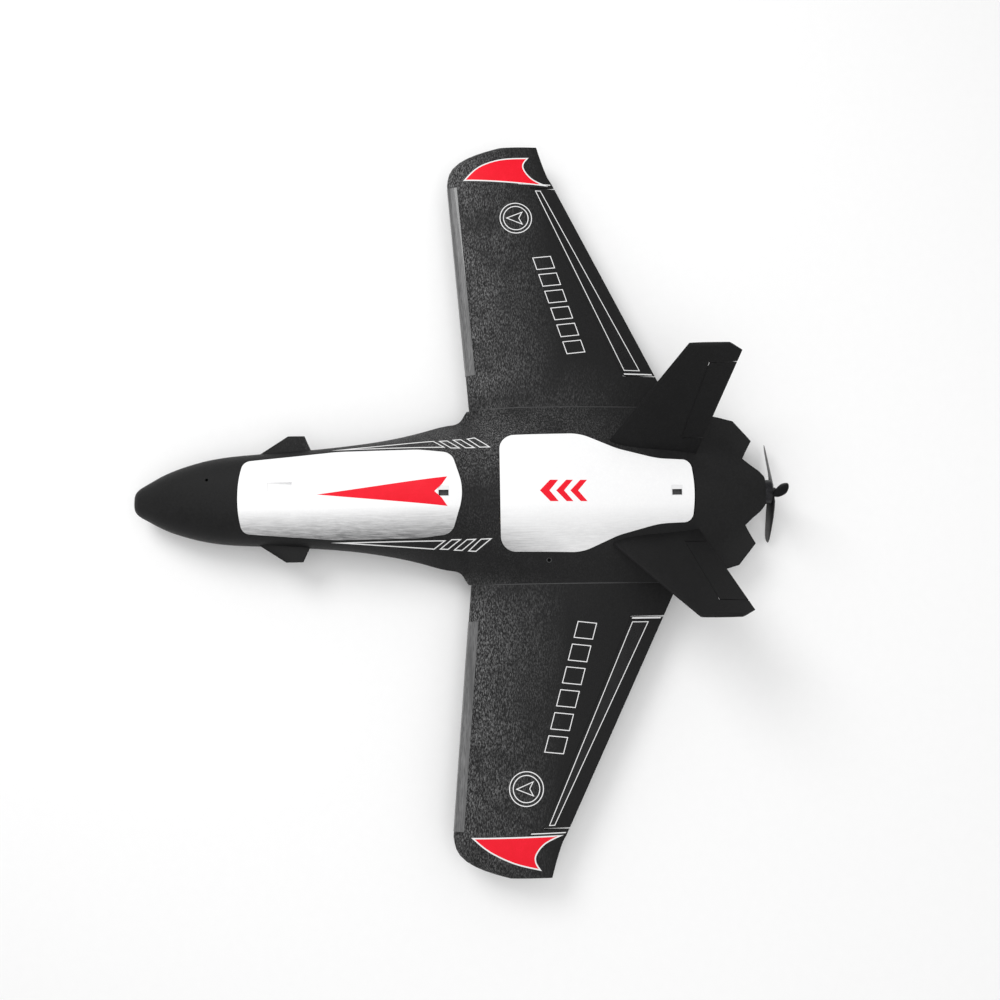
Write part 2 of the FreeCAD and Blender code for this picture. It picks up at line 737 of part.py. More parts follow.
def prop_adapter():
    """Collet base, threaded stud and dome nut that clamp the propeller."""
    base = shaft_rod(8.0, BELL_END, -3.4)
    stud = shaft_rod(2.5, -3.4, 6.0)
    nut = Part.makeCone(5.6, 4.6, 4.0, V(0, 4.1, 0), V(0, 1, 0)).fuse(shaft_rod(4.4, 8.1, 10.0))
    dome = Part.makeCone(4.4, 1.8, TAIL_Y - 10.0, V(0, 10.0, 0), V(0, 1, 0))
    return join([base, stud, nut, dome])


def blade_wire(radius):
    """Cambered blade section at a radius, its pitch falling towards the tip."""
    share = min(1.0, max(0.0, (radius - 8.0) / (PROP_R - 8.0)))
    tip = max(0.0, (share - 0.8) / 0.2)
    chord = (9.0 + 14.0 * math.sin(0.85 * math.pi * share**0.7)) * math.sqrt(1.0 - 0.8 * tip**3)
    pitch = math.atan2(72.0, 2.0 * math.pi * max(radius, 14.0)) + math.radians(4.0)
    across = V(math.cos(pitch), -math.sin(pitch), 0.0)
    through = V(math.sin(pitch), math.cos(pitch), 0.0)
    nose = across * (-0.45 * chord) + V(0.0, 0.0, radius)
    return foil_wire(nose, across, through, chord, lerp(0.26, 0.10, share), 0.03, 0.35, 9)


def propeller():
    """Moulded propeller: hub and twisted blades, their roots trimmed clear of the motor and the nut."""
    stations = [5.6 + (PROP_R - 5.6) * math.sin(math.pi * i / 28.0) for i in range(15)]
    blade = Part.makeLoft([blade_wire(r) for r in stations], True, True)
    hub = shaft_rod(HUB_R, -3.2, 4.0)
    blades = []
    for i in range(BLADES):
        turned = blade.copy()
        turned.rotate(V(0, 0, 0), V(0, 1, 0), PROP_TILT + i * 360.0 / BLADES)
        blades.append(turned)
    clear = [shaft_rod(MOTOR_R + 1.0, -16.0, -4.4), shaft_rod(8.4, -16.0, -3.2), shaft_rod(6.2, 4.0, 16.0)]
    return biggest(join([hub] + blades).cut(clear + [shaft_rod(SHAFT_R + 0.05, -5.0, 6.0)]))


# ---- what the bays hold --------------------------------------------------------------------------------
def battery_tray():
    """Plywood plate with two pairs of strap slots."""
    slots = []
    for y in (-770.0, -668.0):
        for x in (-24.2, 24.2):
            slots.append(box(x - 1.6, x + 1.6, y - 11.0, y + 11.0, BAY_FLOOR_Z, BAY_FLOOR_Z + 4.0))
    return box(-26.0, 26.0, -835.0, -600.0, BAY_FLOOR_Z + 0.2, TRAY_TOP).cut(slots)


def long_edges(shape, above):
    """Edges that run fore and aft and lie above a height."""
    return [
        e
        for e in shape.Edges
        if abs(e.tangentAt(e.FirstParameter).y) > 0.9 and e.BoundBox.ZMin > above
    ]


def battery():
    """Shrink-wrapped brick of cells with softly rounded long edges."""
    low = TRAY_TOP + SEAT_GAP / 2.0
    pack = box(-BATTERY_HALF, BATTERY_HALF, -800.0, -662.0, low, low + BATTERY_HIGH)
    return pack.makeFillet(5.0, long_edges(pack, low - 1.0))


def battery_strap():
    """Hook-and-loop strap over the battery, its ends down on the tray."""
    low = TRAY_TOP + SEAT_GAP / 2.0
    top = low + BATTERY_HIGH
    outer = box(-25.0, 25.0, -680.0, -660.0, low, top + 2.0)
    inner = box(-23.4, 23.4, -681.0, -659.0, low - 1.0, top + 0.4)
    band = outer.cut(inner)
    return band.makeFillet(0.6, long_edges(band, top + 1.0))


def power_leads():
    """Battery wires with their plug pair, and the three wires from the speed controller to the motor."""
    z = BAY_FLOOR_Z + 26.0
    plug = box(-8.0, 8.0, -640.0, -616.0, z - 4.0, z + 4.0)
    wires = [rod(1.7, V(x, -661.5, z), V(x, -640.0, z)) for x in (-4.2, 4.2)]
    tails = [rod(1.7, V(x, -616.0, z), V(x, -575.0, z)) for x in (-4.2, 4.2)]
    level = REAR_SPAR_Z + REAR_SPAR_R + PHASE_R + 0.05
    phases = [rod(PHASE_R, V(x, -305.0, level), V(x, -26.5, level)) for x in (-5.0, 0.0, 5.0)]
    return Part.makeCompound([join([plug] + wires + tails)] + phases)


def speed_controller():
    """Finned aluminium heat sink over a shrink-wrapped board."""
    body = box(-16.0, 16.0, -380.0, -318.0, -33.6, -24.0)
    fins = [box(-15.0 + 4.6 * i, -13.4 + 4.6 * i, -374.0, -324.0, -24.2, -19.5) for i in range(7)]
    return join([body] + fins)


def receiver():
    case = box(26.0, 50.0, -425.0, -385.0, -33.6, -21.6)
    pins = box(29.0, 47.0, -386.0, -380.0, -31.0, -24.0)
    return join([case, pins])


def magnet(spot, drop):
    return rod(MAGNET_R, spot + V(0.0, 0.0, drop), spot + V(0.0, 0.0, drop + MAGNET_H))


def magnet_seats(upper, at):
    """Undersides of a hatch's rim, a pair of spots near its back."""
    x, y = at
    low = skin_height(upper, x, y) - HATCH_THICK
    return [V(-x, y, low), V(x, y, low)]


def tongue_spots(upper, x, y):
    """A pair of tongues under a hatch's front edge, just below the skin."""
    z = skin_height(upper, x, y) - TONGUE_DEPTH
    return [(-x, y, z), (x, y, z)]


def tongue_pocket(x, y, z):
    return box(x - 10.5, x + 10.5, y - 9.0, y + 6.0, z - 11.0, z + 2.4)


def spar_ends(half, y, z):
    return V(-half, y, z), V(half, y, z)


def belly_skid():
    """Hard strip let into the flat of the belly, which the aeroplane stands and lands on."""
    low = BELLY_Z - SKID_THICK
    half = [(16.0, -868.0, 12.0), (22.0, -780.0, 120.0), (22.0, -480.0, 120.0), (14.0, -392.0, 10.0)]
    return prism(rounded(symmetric(half), low), SKID_THICK + SKID_LET_IN)


# ---- the whole aeroplane -------------------------------------------------------------------------------
def skin_height(upper, x, y):
    """Height of the upper skin above a point."""
    needle = Part.makeLine(V(x, y, 0.0), V(x, y, 120.0))
    return needle.common(upper).BoundBox.ZMax


def linkage(name, frame, reach, radius, depths, thick, proud=0.0):
    """Writes one side's servo, arm, pushrod and horn and gives back the servo pocket and the horn."""
    horn_skin, servo_skin = depths
    depth = servo_skin + proud - thick / 2.0
    both_sides(name + "_servo", placed(servo(reach, depth, thick), frame))
    both_sides(name + "_servo_arm", placed(servo_arm(reach, depth, radius), frame))
    both_sides(name + "_pushrod", placed(pushrod(reach, depth, radius), frame))
    horn = placed(control_horn(radius, horn_skin), frame)
    both_sides(name + "_horn", horn)
    return placed(servo_pocket(reach, depth, thick), frame), horn


def write_hatch(name, lid, pull, tongues, plugs, extra):
    """Writes a lid with what is glued into it; extra is cut away besides."""
    save(name + "_hatch", biggest(lid.cut(tongues + plugs + extra)))
    save(name + "_finger_pull", pull)
    save(name + "_hatch_tongues", Part.makeCompound(tongues))
    save(name + "_hatch_magnets", Part.makeCompound(plugs))


def write_hatches(upper, fin):
    """Writes both hatches and gives back the pockets for the tongues and keeper magnets in the fuselage."""
    keepers = []
    pockets = []
    beside = fin.copy()
    beside.translate(V(-FIN_CLEARANCE, 0.0, 0.0))
    front_tongue = (FRONT_TONGUE_X, FRONT_HINGE[0] + 3.0)
    rear_tongue = (REAR_TONGUE_X, REAR_HINGE[0])
    front = ("front", front_outline, 0.0, FRONT_PULL_Y, front_tongue, FRONT_MAGNET)
    rear = ("rear", rear_outline, REAR_END_GAP, REAR_PULL_Y, rear_tongue, REAR_MAGNET)
    for name, outline, shorter, pull_y, tongue_at, magnet_at in (front, rear):
        top = skin_height(upper, 0.0, pull_y) - 0.6
        extra = [pull_box(pull_y, top, 0.0, 6.0)]
        if name == "front":
            extra.append(vent_recess(skin_height(upper, 8.0, -852.0)))
        else:
            extra += [fin, mirror(fin), beside, mirror(beside)]
        spots = tongue_spots(upper, *tongue_at)
        tongues = [hatch_tongue(*spot) for spot in spots]
        seats = magnet_seats(upper, magnet_at)
        plugs = [magnet(spot, MAGNET_SET) for spot in seats]
        pull = finger_pull(pull_y, top).common(upper)
        write_hatch(name, hatch(outline, upper, shorter), pull, tongues, plugs, extra)
        keepers += [magnet(spot, -MAGNET_H - SEAT_GAP - MAGNET_SET) for spot in seats]
        pockets += [tongue_pocket(*spot) for spot in spots]
    save("hatch_keeper_magnets", Part.makeCompound(keepers))
    return keepers + pockets


def write_spars():
    """Writes the wing spars and the sleeve in the fuselage that the main one slides through."""
    sleeve_ends = spar_ends(ROOT_X - 0.2, MAIN_SPAR_Y, MAIN_SPAR_Z)
    save("spar_sleeve", tube(SLEEVE_R, SLEEVE_WALL, *sleeve_ends))
    save("main_spar", tube(MAIN_SPAR_R, TUBE_WALL, *spar_ends(MAIN_SPAR_HALF, MAIN_SPAR_Y, MAIN_SPAR_Z)))
    save("rear_spar", tube(REAR_SPAR_R, TUBE_WALL, *spar_ends(REAR_SPAR_HALF, REAR_SPAR_Y, REAR_SPAR_Z)))


def write_fuselage(upper, lower, cuts, skid):
    """Writes the two foam shells with their openings and everything let into them."""
    top_shell = upper
    openings = [hatch_opening(front_outline, upper), hatch_opening(rear_outline, upper)]
    for tool in openings + cuts:
        top_shell = biggest(top_shell.cut(tool))
    save("fuselage_upper", top_shell)
    bottom_shell = lower
    for tool in cuts + [skid]:
        bottom_shell = biggest(bottom_shell.cut(tool))
    save("fuselage_lower", bottom_shell)


def build():
    os.makedirs("parts", exist_ok=True)
    upper = centre_body(False)
    lower = centre_body(True)
    main_channel, rear_channel = spar_channels()

    wing, aileron = wing_and_aileron(wing_blank())
    pocket, horn = linkage(
        "aileron", aileron_frame(), AILERON_REACH, AILERON_HORN_R, aileron_depths(), AILERON_SERVO
    )
    wing = wing.cut([pocket, main_channel, rear_channel])
    both_sides("wing", biggest(wing))
    both_sides("aileron", biggest(aileron.cut(horn)))
    both_sides("leading_edge_guard", edge_guard())
    both_sides("wing_root_rib", root_rib().cut([main_channel, rear_channel]))

    fin, rudder = fin_and_rudder(fin_blank())
    pocket, horn = linkage(
        "ruddervator",
        rudder_frame(),
        RUDDER_REACH,
        RUDDER_HORN_R,
        rudder_depths(),
        RUDDER_SERVO,
        RUDDER_SERVO_PROUD,
    )
    spar = fin_spar()
    fin = biggest(fin.cut([pocket, spar]))
    both_sides("fin", fin)
    both_sides("fin_spar", spar)
    both_sides("ruddervator", biggest(rudder.cut(horn)))

    foreplane = biggest(canard().cut(box(-70.0, 70.0, -900.0, -700.0, -20.0, 60.0)))
    both_sides("canard", foreplane)
    hatch_pockets = write_hatches(upper, fin)
    write_spars()

    antenna_x, antenna_y = ANTENNA_AT
    foot = V(antenna_x, antenna_y, skin_height(upper, antenna_x, antenna_y) - 4.0)
    save("antenna_grommet", tube(GROMMET_R, 1.1, foot, foot + V(0.0, 0.0, 4.4)))
    skid = belly_skid()
    save("belly_skid", skid)

    cuts = [battery_bay(), electronics_bay(), motor_wire_tunnel(), rear_channel]
    cuts.append(rod(SLEEVE_R, *spar_ends(ROOT_X + 5.0, MAIN_SPAR_Y, MAIN_SPAR_Z)))
    for shape in (fin, foreplane, spar):
        cuts += [shape, mirror(shape)]
    cuts.append(shaft_rod(21.0, -26.0, -10.0))
    cuts.append(rod(GROMMET_R, foot - V(0.0, 0.0, 6.0), foot + V(0.0, 0.0, 30.0)))
    nose_x, nose_y = NOSE_HOLE_AT
    cuts.append(rod(2.6, V(nose_x, nose_y, 20.0), V(nose_x, nose_y, 80.0)))
    write_fuselage(upper, lower, cuts + hatch_pockets, skid)

    save("motor_mount", motor_mount())
    save("motor_screws", motor_screws())
    save("motor_stator", motor_stator())
    save("motor_bell", motor_bell())
    save("prop_adapter", prop_adapter())
    save("propeller", propeller())
    save("battery_tray", battery_tray())
    save("battery", battery())
    save("battery_strap", battery_strap())
    save("power_leads", power_leads())
    save("speed_controller", speed_controller())
    save("receiver", receiver())


build()
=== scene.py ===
import bpy
import json
import math
import random
from mathutils import Matrix, Vector


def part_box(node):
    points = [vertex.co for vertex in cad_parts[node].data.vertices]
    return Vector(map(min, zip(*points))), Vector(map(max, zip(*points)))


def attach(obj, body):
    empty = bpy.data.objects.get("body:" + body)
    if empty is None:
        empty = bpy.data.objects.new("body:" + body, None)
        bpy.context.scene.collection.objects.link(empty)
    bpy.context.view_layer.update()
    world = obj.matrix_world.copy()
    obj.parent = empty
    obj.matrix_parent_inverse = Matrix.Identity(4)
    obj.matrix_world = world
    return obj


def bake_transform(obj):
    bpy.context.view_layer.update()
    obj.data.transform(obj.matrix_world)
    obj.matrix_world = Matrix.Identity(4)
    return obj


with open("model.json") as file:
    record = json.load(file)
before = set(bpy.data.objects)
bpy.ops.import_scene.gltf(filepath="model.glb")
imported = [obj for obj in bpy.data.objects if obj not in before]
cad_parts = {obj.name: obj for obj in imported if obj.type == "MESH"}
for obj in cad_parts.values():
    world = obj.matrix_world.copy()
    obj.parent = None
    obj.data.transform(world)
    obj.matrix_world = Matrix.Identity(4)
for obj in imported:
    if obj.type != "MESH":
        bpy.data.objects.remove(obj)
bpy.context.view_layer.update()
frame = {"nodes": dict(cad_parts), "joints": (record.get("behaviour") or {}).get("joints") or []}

node = frame["nodes"]
random.seed(7)

# ---------------------------------------------------------------------------------------------------
# Fuselage shells, wings and ailerons: moulded black expanded-polypropylene foam. Fused beads show as a
# fine speckle. Painted highlight: light grey flecks along the leading edges and over the middle of the back.
# The shells are glued along the parting line and the wing panels slide on over the carbon spars.
# ---------------------------------------------------------------------------------------------------


def new_group(name, inputs, outputs):
    """Shader node group with float or vector inputs and float outputs."""
    group = bpy.data.node_groups.new(name, "ShaderNodeTree")
    for label, kind, value in inputs:
        socket = group.interface.new_socket(name=label, in_out="INPUT", socket_type=kind)
        if kind == "NodeSocketFloat":
            socket.default_value = value
    for label in outputs:
        group.interface.new_socket(name=label, in_out="OUTPUT", socket_type="NodeSocketFloat")
    start = group.nodes.new("NodeGroupInput")
    end = group.nodes.new("NodeGroupOutput")
    return group, start, end


def add(tree, kind, **settings):
    """Node in a tree, with its properties set and its inputs linked or given values."""
    made = tree.nodes.new(kind)
    wired = settings.pop("wired", {})
    for key, value in settings.items():
        setattr(made, key, value)
    for key, value in wired.items():
        if isinstance(value, bpy.types.NodeSocket):
            tree.links.new(value, made.inputs[key])
        else:
            made.inputs[key].default_value = value
    return made


def math_node(tree, operation, a, b=0.0):
    return add(tree, "ShaderNodeMath", operation=operation, wired={0: a, 1: b}).outputs[0]


def spread(tree, value, low, high, start=0.0, end=1.0):
    return add(
        tree,
        "ShaderNodeMapRange",
        wired={"Value": value, "From Min": start, "From Max": end, "To Min": low, "To Max": high},
    ).outputs[0]


def bead_group():
    """Fused foam beads: a random shade per bead, the dark seams between beads, and fine flecks over them."""
    inputs = [
        ("Vector", "NodeSocketVector", 0),
        ("Bead", "NodeSocketFloat", 300.0),
        ("Fleck scale", "NodeSocketFloat", 900.0),
    ]
    group, start, end = new_group("bead_foam", inputs, ["Shade", "Flecks", "Height"])
    vector = start.outputs["Vector"]
    bead = start.outputs["Bead"]
    cells = add(group, "ShaderNodeTexVoronoi", wired={"Vector": vector, "Scale": bead})
    seams = add(
        group, "ShaderNodeTexVoronoi", feature="DISTANCE_TO_EDGE", wired={"Vector": vector, "Scale": bead}
    )
    shade = add(group, "ShaderNodeSeparateColor", wired={"Color": cells.outputs["Color"]})
    seam = add(group, "ShaderNodeMapRange", wired={"Value": seams.outputs["Distance"], "From Max": 0.12})
    patches = add(group, "ShaderNodeTexNoise", wired={"Vector": vector, "Scale": 34.0, "Detail": 6.0})
    mixed = math_node(group, "MULTIPLY", shade.outputs[0], 0.45)
    mixed = math_node(group, "ADD", mixed, math_node(group, "MULTIPLY", patches.outputs[0], 0.55))
    mixed = math_node(group, "MULTIPLY", mixed, spread(group, seam.outputs[0], 0.4, 1.0))
    group.links.new(mixed, end.inputs["Shade"])
    stretched = add(group, "ShaderNodeMapping", wired={"Vector": vector, "Scale": (0.35, 1.0, 1.0)})
    fleck_noise = add(
        group,
        "ShaderNodeTexNoise",
        wired={
            "Vector": stretched.outputs[0],
            "Scale": start.outputs["Fleck scale"],
            "Detail": 5.0,
            "Roughness": 0.7,
        },
    )
    sharp = add(
        group, "ShaderNodeMapRange", wired={"Value": fleck_noise.outputs[0], "From Min": 0.47, "From Max": 0.68}
    )
    group.links.new(sharp.outputs[0], end.inputs["Flecks"])
    group.links.new(math_node(group, "ADD", seam.outputs[0], mixed), end.inputs["Height"])
    return group


def new_material(name):
    """Empty node material: its tree, its Principled shader and the object coordinates."""
    made = bpy.data.materials.new(name)
    made.use_nodes = True
    tree = made.node_tree
    shader = tree.nodes["Principled BSDF"]
    place = tree.nodes.new("ShaderNodeTexCoord").outputs["Object"]
    return made, tree, shader, place


def blend_colour(tree, share, dark, light):
    mix = add(tree, "ShaderNodeMix", data_type="RGBA")
    tree.links.new(share, mix.inputs[0])
    for slot, colour in ((6, dark), (7, light)):
        if isinstance(colour, bpy.types.NodeSocket):
            tree.links.new(colour, mix.inputs[slot])
        else:
            mix.inputs[slot].default_value = (*colour, 1.0)
    return mix.outputs[2]


def relief(tree, shader, height, strength, depth):
    bump = add(tree, "ShaderNodeBump", wired={"Height": height, "Strength": strength, "Distance": depth})
    tree.links.new(bump.outputs[0], shader.inputs["Normal"])


BEADS = bead_group()


def paint(material, *names):
    """Gives CAD nodes a material in place of the one they came with."""
    for name in names:
        node[name].data.materials.clear()
        node[name].data.materials.append(material)


def black_foam():
    made, tree, shader, place = new_material("black_foam")
    wired = {"Vector": place, "Bead": 330.0, "Fleck scale": 620.0}
    beads = add(tree, "ShaderNodeGroup", node_tree=BEADS, wired=wired)
    axes = add(tree, "ShaderNodeSeparateXYZ", wired={"Vector": place})
    # Painted highlight: masks for light grey flecks along the leading edges and over the middle of the back,
    # strongest on the -X side toward the key light.
    aside = math_node(tree, "ABSOLUTE", axes.outputs[0])
    behind = math_node(tree, "MULTIPLY_ADD", aside, 0.0825)
    behind.node.inputs[2].default_value = -0.0346
    behind = math_node(tree, "ADD", behind, axes.outputs[1])
    leading_edge_highlight = spread(tree, behind, 1.0, 0.0, 0.0, 0.17)
    centre = spread(tree, aside, 1.0, 0.0, 0.05, 0.24)
    nose = spread(tree, axes.outputs[1], 0.0, 1.0, -0.32, -0.02)
    tail = spread(tree, axes.outputs[1], 1.0, 0.0, 0.06, 0.34)
    middle = math_node(tree, "MULTIPLY", math_node(tree, "MULTIPLY", centre, nose), tail)
    middle = math_node(tree, "MULTIPLY", middle, spread(tree, axes.outputs[0], 1.0, 0.15, -0.1, 0.0))
    outer = math_node(tree, "MULTIPLY", leading_edge_highlight, spread(tree, aside, 0.0, 1.0, 0.12, 0.2))
    flecks_and_sheen = math_node(tree, "MAXIMUM", middle, outer)
    wired = {"Vector": place, "Scale": 13.0, "Detail": 8.0, "Roughness": 0.7}
    patch = add(tree, "ShaderNodeTexNoise", wired=wired)
    flecks_and_sheen = math_node(tree, "MULTIPLY", flecks_and_sheen, spread(tree, patch.outputs[0], 0.3, 1.0, 0.34, 0.54))
    flecks_and_sheen = math_node(tree, "MULTIPLY", flecks_and_sheen, beads.outputs["Flecks"])
    base = blend_colour(tree, beads.outputs["Shade"], (0.003, 0.003, 0.0032), (0.0125, 0.0125, 0.0128))
    # Painted highlight: the masked flecks mix the foam towards light grey.
    colour = blend_colour(tree, flecks_and_sheen, base, (0.3, 0.3, 0.302))
    tree.links.new(colour, shader.inputs["Base Color"])
    tree.links.new(spread(tree, beads.outputs["Shade"], 0.5, 0.72), shader.inputs["Roughness"])
    relief(tree, shader, beads.outputs["Height"], 0.35, 0.00025)
    shader.inputs["Specular IOR Level"].default_value = 0.2
    return made


BLACK_FOAM = black_foam()
paint(BLACK_FOAM, "fuselage_upper", "fuselage_lower", "wing_left", "wing_right")
paint(BLACK_FOAM, "aileron_left", "aileron_right", "canard_left", "canard_right")

# ---------------------------------------------------------------------------------------------------
# V tail fins and ruddervators: the same black foam, denser and darker, with a smoother moulded skin.
# Each fin is glued into a slot in the tail deck; its ruddervator hangs on a foam hinge.
# ---------------------------------------------------------------------------------------------------


def fin_foam():
    made, tree, shader, place = new_material("fin_foam")
    wired = {"Vector": place, "Bead": 420.0, "Fleck scale": 800.0}
    beads = add(tree, "ShaderNodeGroup", node_tree=BEADS, wired=wired)
    flecks_and_sheen = math_node(tree, "MULTIPLY", beads.outputs["Flecks"], 0.12)
    base = blend_colour(tree, beads.outputs["Shade"], (0.0025, 0.0025, 0.0027), (0.009, 0.009, 0.0094))
    tree.links.new(blend_colour(tree, flecks_and_sheen, base, (0.07, 0.07, 0.07)), shader.inputs["Base Color"])
    tree.links.new(spread(tree, beads.outputs["Shade"], 0.48, 0.66), shader.inputs["Roughness"])
    relief(tree, shader, beads.outputs["Height"], 0.28, 0.0002)
    shader.inputs["Specular IOR Level"].default_value = 0.17
    return made


paint(fin_foam(), "fin_left", "fin_right", "ruddervator_left", "ruddervator_right")

# ---------------------------------------------------------------------------------------------------
# Live hinges: a thin skin of the same foam left along each hinge line, half a millimetre thick. It is
# moulded into both sides; here each is a fixed flat strip.
# ---------------------------------------------------------------------------------------------------
HINGE_SKIN = 0.0005
HINGE_WIDE = 0.005


def drop_selection():
    if bpy.context.object is not None and bpy.context.object.mode != "OBJECT":
        bpy.ops.object.mode_set(mode="OBJECT")
    bpy.ops.object.select_all(action="DESELECT")


def live_hinge(surface, inner, outer, outward):
    """Strip along a hinge axis, from inner to outer along it, flat to the skin that outward points from."""
    joint = next(j for j in frame["joints"] if j["name"] == surface + "_hinge")
    along = Vector(joint["axis"]).normalized()
    if along.x * Vector(joint["pos_m"]).x < 0.0:
        along = -along
    across = Vector(outward).cross(along).normalized()
    middle = Vector(joint["pos_m"]) + along * (inner + outer) / 2.0
    turn = Matrix((along, across, along.cross(across))).transposed().to_euler()
    drop_selection()
    bpy.ops.mesh.primitive_grid_add(
        x_subdivisions=3, y_subdivisions=8, size=1.0, location=middle, rotation=turn
    )
    strip = bpy.context.object
    strip.name = "live_hinge_" + surface
    strip.scale = (outer - inner, HINGE_WIDE, 1.0)
    bpy.ops.object.transform_apply(location=True, rotation=True, scale=True)
    thick = strip.modifiers.new("skin", "SOLIDIFY")
    thick.thickness = HINGE_SKIN
    thick.offset = 0.0
    bpy.ops.object.modifier_apply(modifier="skin")
    strip.data.materials.append(BLACK_FOAM)
    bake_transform(strip)


for side, s in (("left", 1.0), ("right", -1.0)):
    live_hinge("aileron_" + side, -0.179, 0.193, (0.0, 0.0, 1.0))
    live_hinge("ruddervator_" + side, -0.049, 0.092, (-0.737 * s, 0.0, 0.676))

# ---------------------------------------------------------------------------------------------------
# Two hatch lids: white foam with a sprayed satin skin. Painted shade in grey streaks runs fore and aft
# on the left flank. Plywood tongues hook the front edge and magnets hold the back edge.
# ---------------------------------------------------------------------------------------------------


def white_foam():
    made, tree, shader, place = new_material("white_foam")
    wired = {"Vector": place, "Bead": 300.0, "Fleck scale": 500.0}
    beads = add(tree, "ShaderNodeGroup", node_tree=BEADS, wired=wired)
    drawn = add(tree, "ShaderNodeMapping", wired={"Vector": place, "Scale": (1.0, 0.05, 1.0)})
    lines = add(
        tree,
        "ShaderNodeTexNoise",
        wired={"Vector": drawn.outputs[0], "Scale": 420.0, "Detail": 4.0, "Roughness": 0.75},
    )
    axes = add(tree, "ShaderNodeSeparateXYZ", wired={"Vector": place})
    # Painted shade: a mask darkening the left (+X) flank, most towards the front, and a front corner further
    # out.
    flank = spread(tree, axes.outputs[0], 0.0, 1.0, 0.022, 0.07)
    forward = spread(tree, axes.outputs[1], 1.0, 0.28, 0.0, 0.09)
    flank = math_node(tree, "MULTIPLY", flank, forward)
    corner = spread(tree, axes.outputs[0], 0.0, 1.0, 0.035, 0.1)
    corner = math_node(tree, "MULTIPLY", corner, spread(tree, axes.outputs[1], 1.0, 0.0, 0.06, 0.25))
    shaded = math_node(tree, "MAXIMUM", flank, corner)
    streaked_shade = math_node(tree, "MULTIPLY", shaded, spread(tree, lines.outputs[0], 0.6, 1.0, 0.36, 0.64))
    base = blend_colour(tree, beads.outputs["Shade"], (0.88, 0.88, 0.885), (0.93, 0.93, 0.93))
    # Painted shade: the streaked mask mixes the white towards dark grey.
    colour = blend_colour(tree, streaked_shade, base, (0.1, 0.1, 0.103))
    tree.links.new(colour, shader.inputs["Base Color"])
    tree.links.new(spread(tree, beads.outputs["Shade"], 0.42, 0.6), shader.inputs["Roughness"])
    relief(tree, shader, beads.outputs["Height"], 0.18, 0.00012)
    return made


paint(white_foam(), "front_hatch", "rear_hatch")

# ---------------------------------------------------------------------------------------------------
# Leading edge guards: glossy dark tape bonded round each wing's nose, dulled by fine scratches; its mid grey
# colour is a painted highlight.
# ---------------------------------------------------------------------------------------------------


def speckle_group():
    """Cloudy grain with fine specks, for moulded, painted and metal surfaces."""
    inputs = [
        ("Vector", "NodeSocketVector", 0),
        ("Scale", "NodeSocketFloat", 400.0),
        ("Cloud", "NodeSocketFloat", 40.0),
    ]
    group, start, end = new_group("speckle", inputs, ["Fine", "Broad", "Height"])
    vector = start.outputs["Vector"]
    wired = {"Vector": vector, "Scale": start.outputs["Scale"], "Detail": 5.0}
    fine = add(group, "ShaderNodeTexNoise", wired=wired)
    wired = {"Vector": vector, "Scale": start.outputs["Cloud"], "Detail": 3.0}
    broad = add(group, "ShaderNodeTexNoise", wired=wired)
    group.links.new(spread(group, fine.outputs[0], 0.0, 1.0, 0.3, 0.7), end.inputs["Fine"])
    group.links.new(spread(group, broad.outputs[0], 0.0, 1.0, 0.3, 0.7), end.inputs["Broad"])
    group.links.new(math_node(group, "ADD", fine.outputs[0], broad.outputs[0]), end.inputs["Height"])
    return group


SPECKLE = speckle_group()


def speckled(name, dark, light, scale, rough, bump, stretch=(1.0, 1.0, 1.0), metallic=0.0, gloss=0.0):
    """Material with speckled colour, roughness and relief; stretch draws the grain out along an axis."""
    made, tree, shader, place = new_material(name)
    drawn = add(tree, "ShaderNodeMapping", wired={"Vector": place, "Scale": stretch})
    wired = {"Vector": drawn.outputs[0], "Scale": scale, "Cloud": scale / 9.0}
    grain = add(tree, "ShaderNodeGroup", node_tree=SPECKLE, wired=wired)
    share = math_node(tree, "MULTIPLY", grain.outputs["Fine"], grain.outputs["Broad"])
    tree.links.new(blend_colour(tree, share, dark, light), shader.inputs["Base Color"])
    tree.links.new(spread(tree, grain.outputs["Fine"], *rough), shader.inputs["Roughness"])
    relief(tree, shader, grain.outputs["Height"], bump, 0.00015)
    shader.inputs["Metallic"].default_value = metallic
    shader.inputs["Coat Weight"].default_value = gloss
    return made


# Painted highlight: the tape's mid grey colour stands in for the shine along each leading edge.
guard = speckled(
    "guard_tape", (0.08, 0.08, 0.081), (0.24, 0.24, 0.242), 700.0, (0.2, 0.4), 0.08,
    stretch=(0.08, 1.0, 1.0), gloss=0.3
)
paint(guard, "leading_edge_guard_left", "leading_edge_guard_right")

# ---------------------------------------------------------------------------------------------------
# Moulded plastic, satin from a spark-eroded mould: black servo cases, wing root ribs, spar sleeve,
# antenna grommet and receiver; grey arms and horns; finger pulls with a white rim and painted shade in the
# cup.
# ---------------------------------------------------------------------------------------------------
plastic = speckled("black_plastic", (0.012, 0.012, 0.013), (0.03, 0.03, 0.031), 1500.0, (0.3, 0.48), 0.12)
for side in ("_left", "_right"):
    paint(plastic, "aileron_servo" + side, "ruddervator_servo" + side, "wing_root_rib" + side)
paint(plastic, "spar_sleeve", "antenna_grommet", "receiver")
fitting = speckled("grey_fitting", (0.05, 0.05, 0.052), (0.11, 0.11, 0.112), 1300.0, (0.3, 0.5), 0.1)
for side in ("_left", "_right"):
    for name in ("aileron_horn", "aileron_servo_arm", "ruddervator_horn", "ruddervator_servo_arm"):
        paint(fitting, name + side)


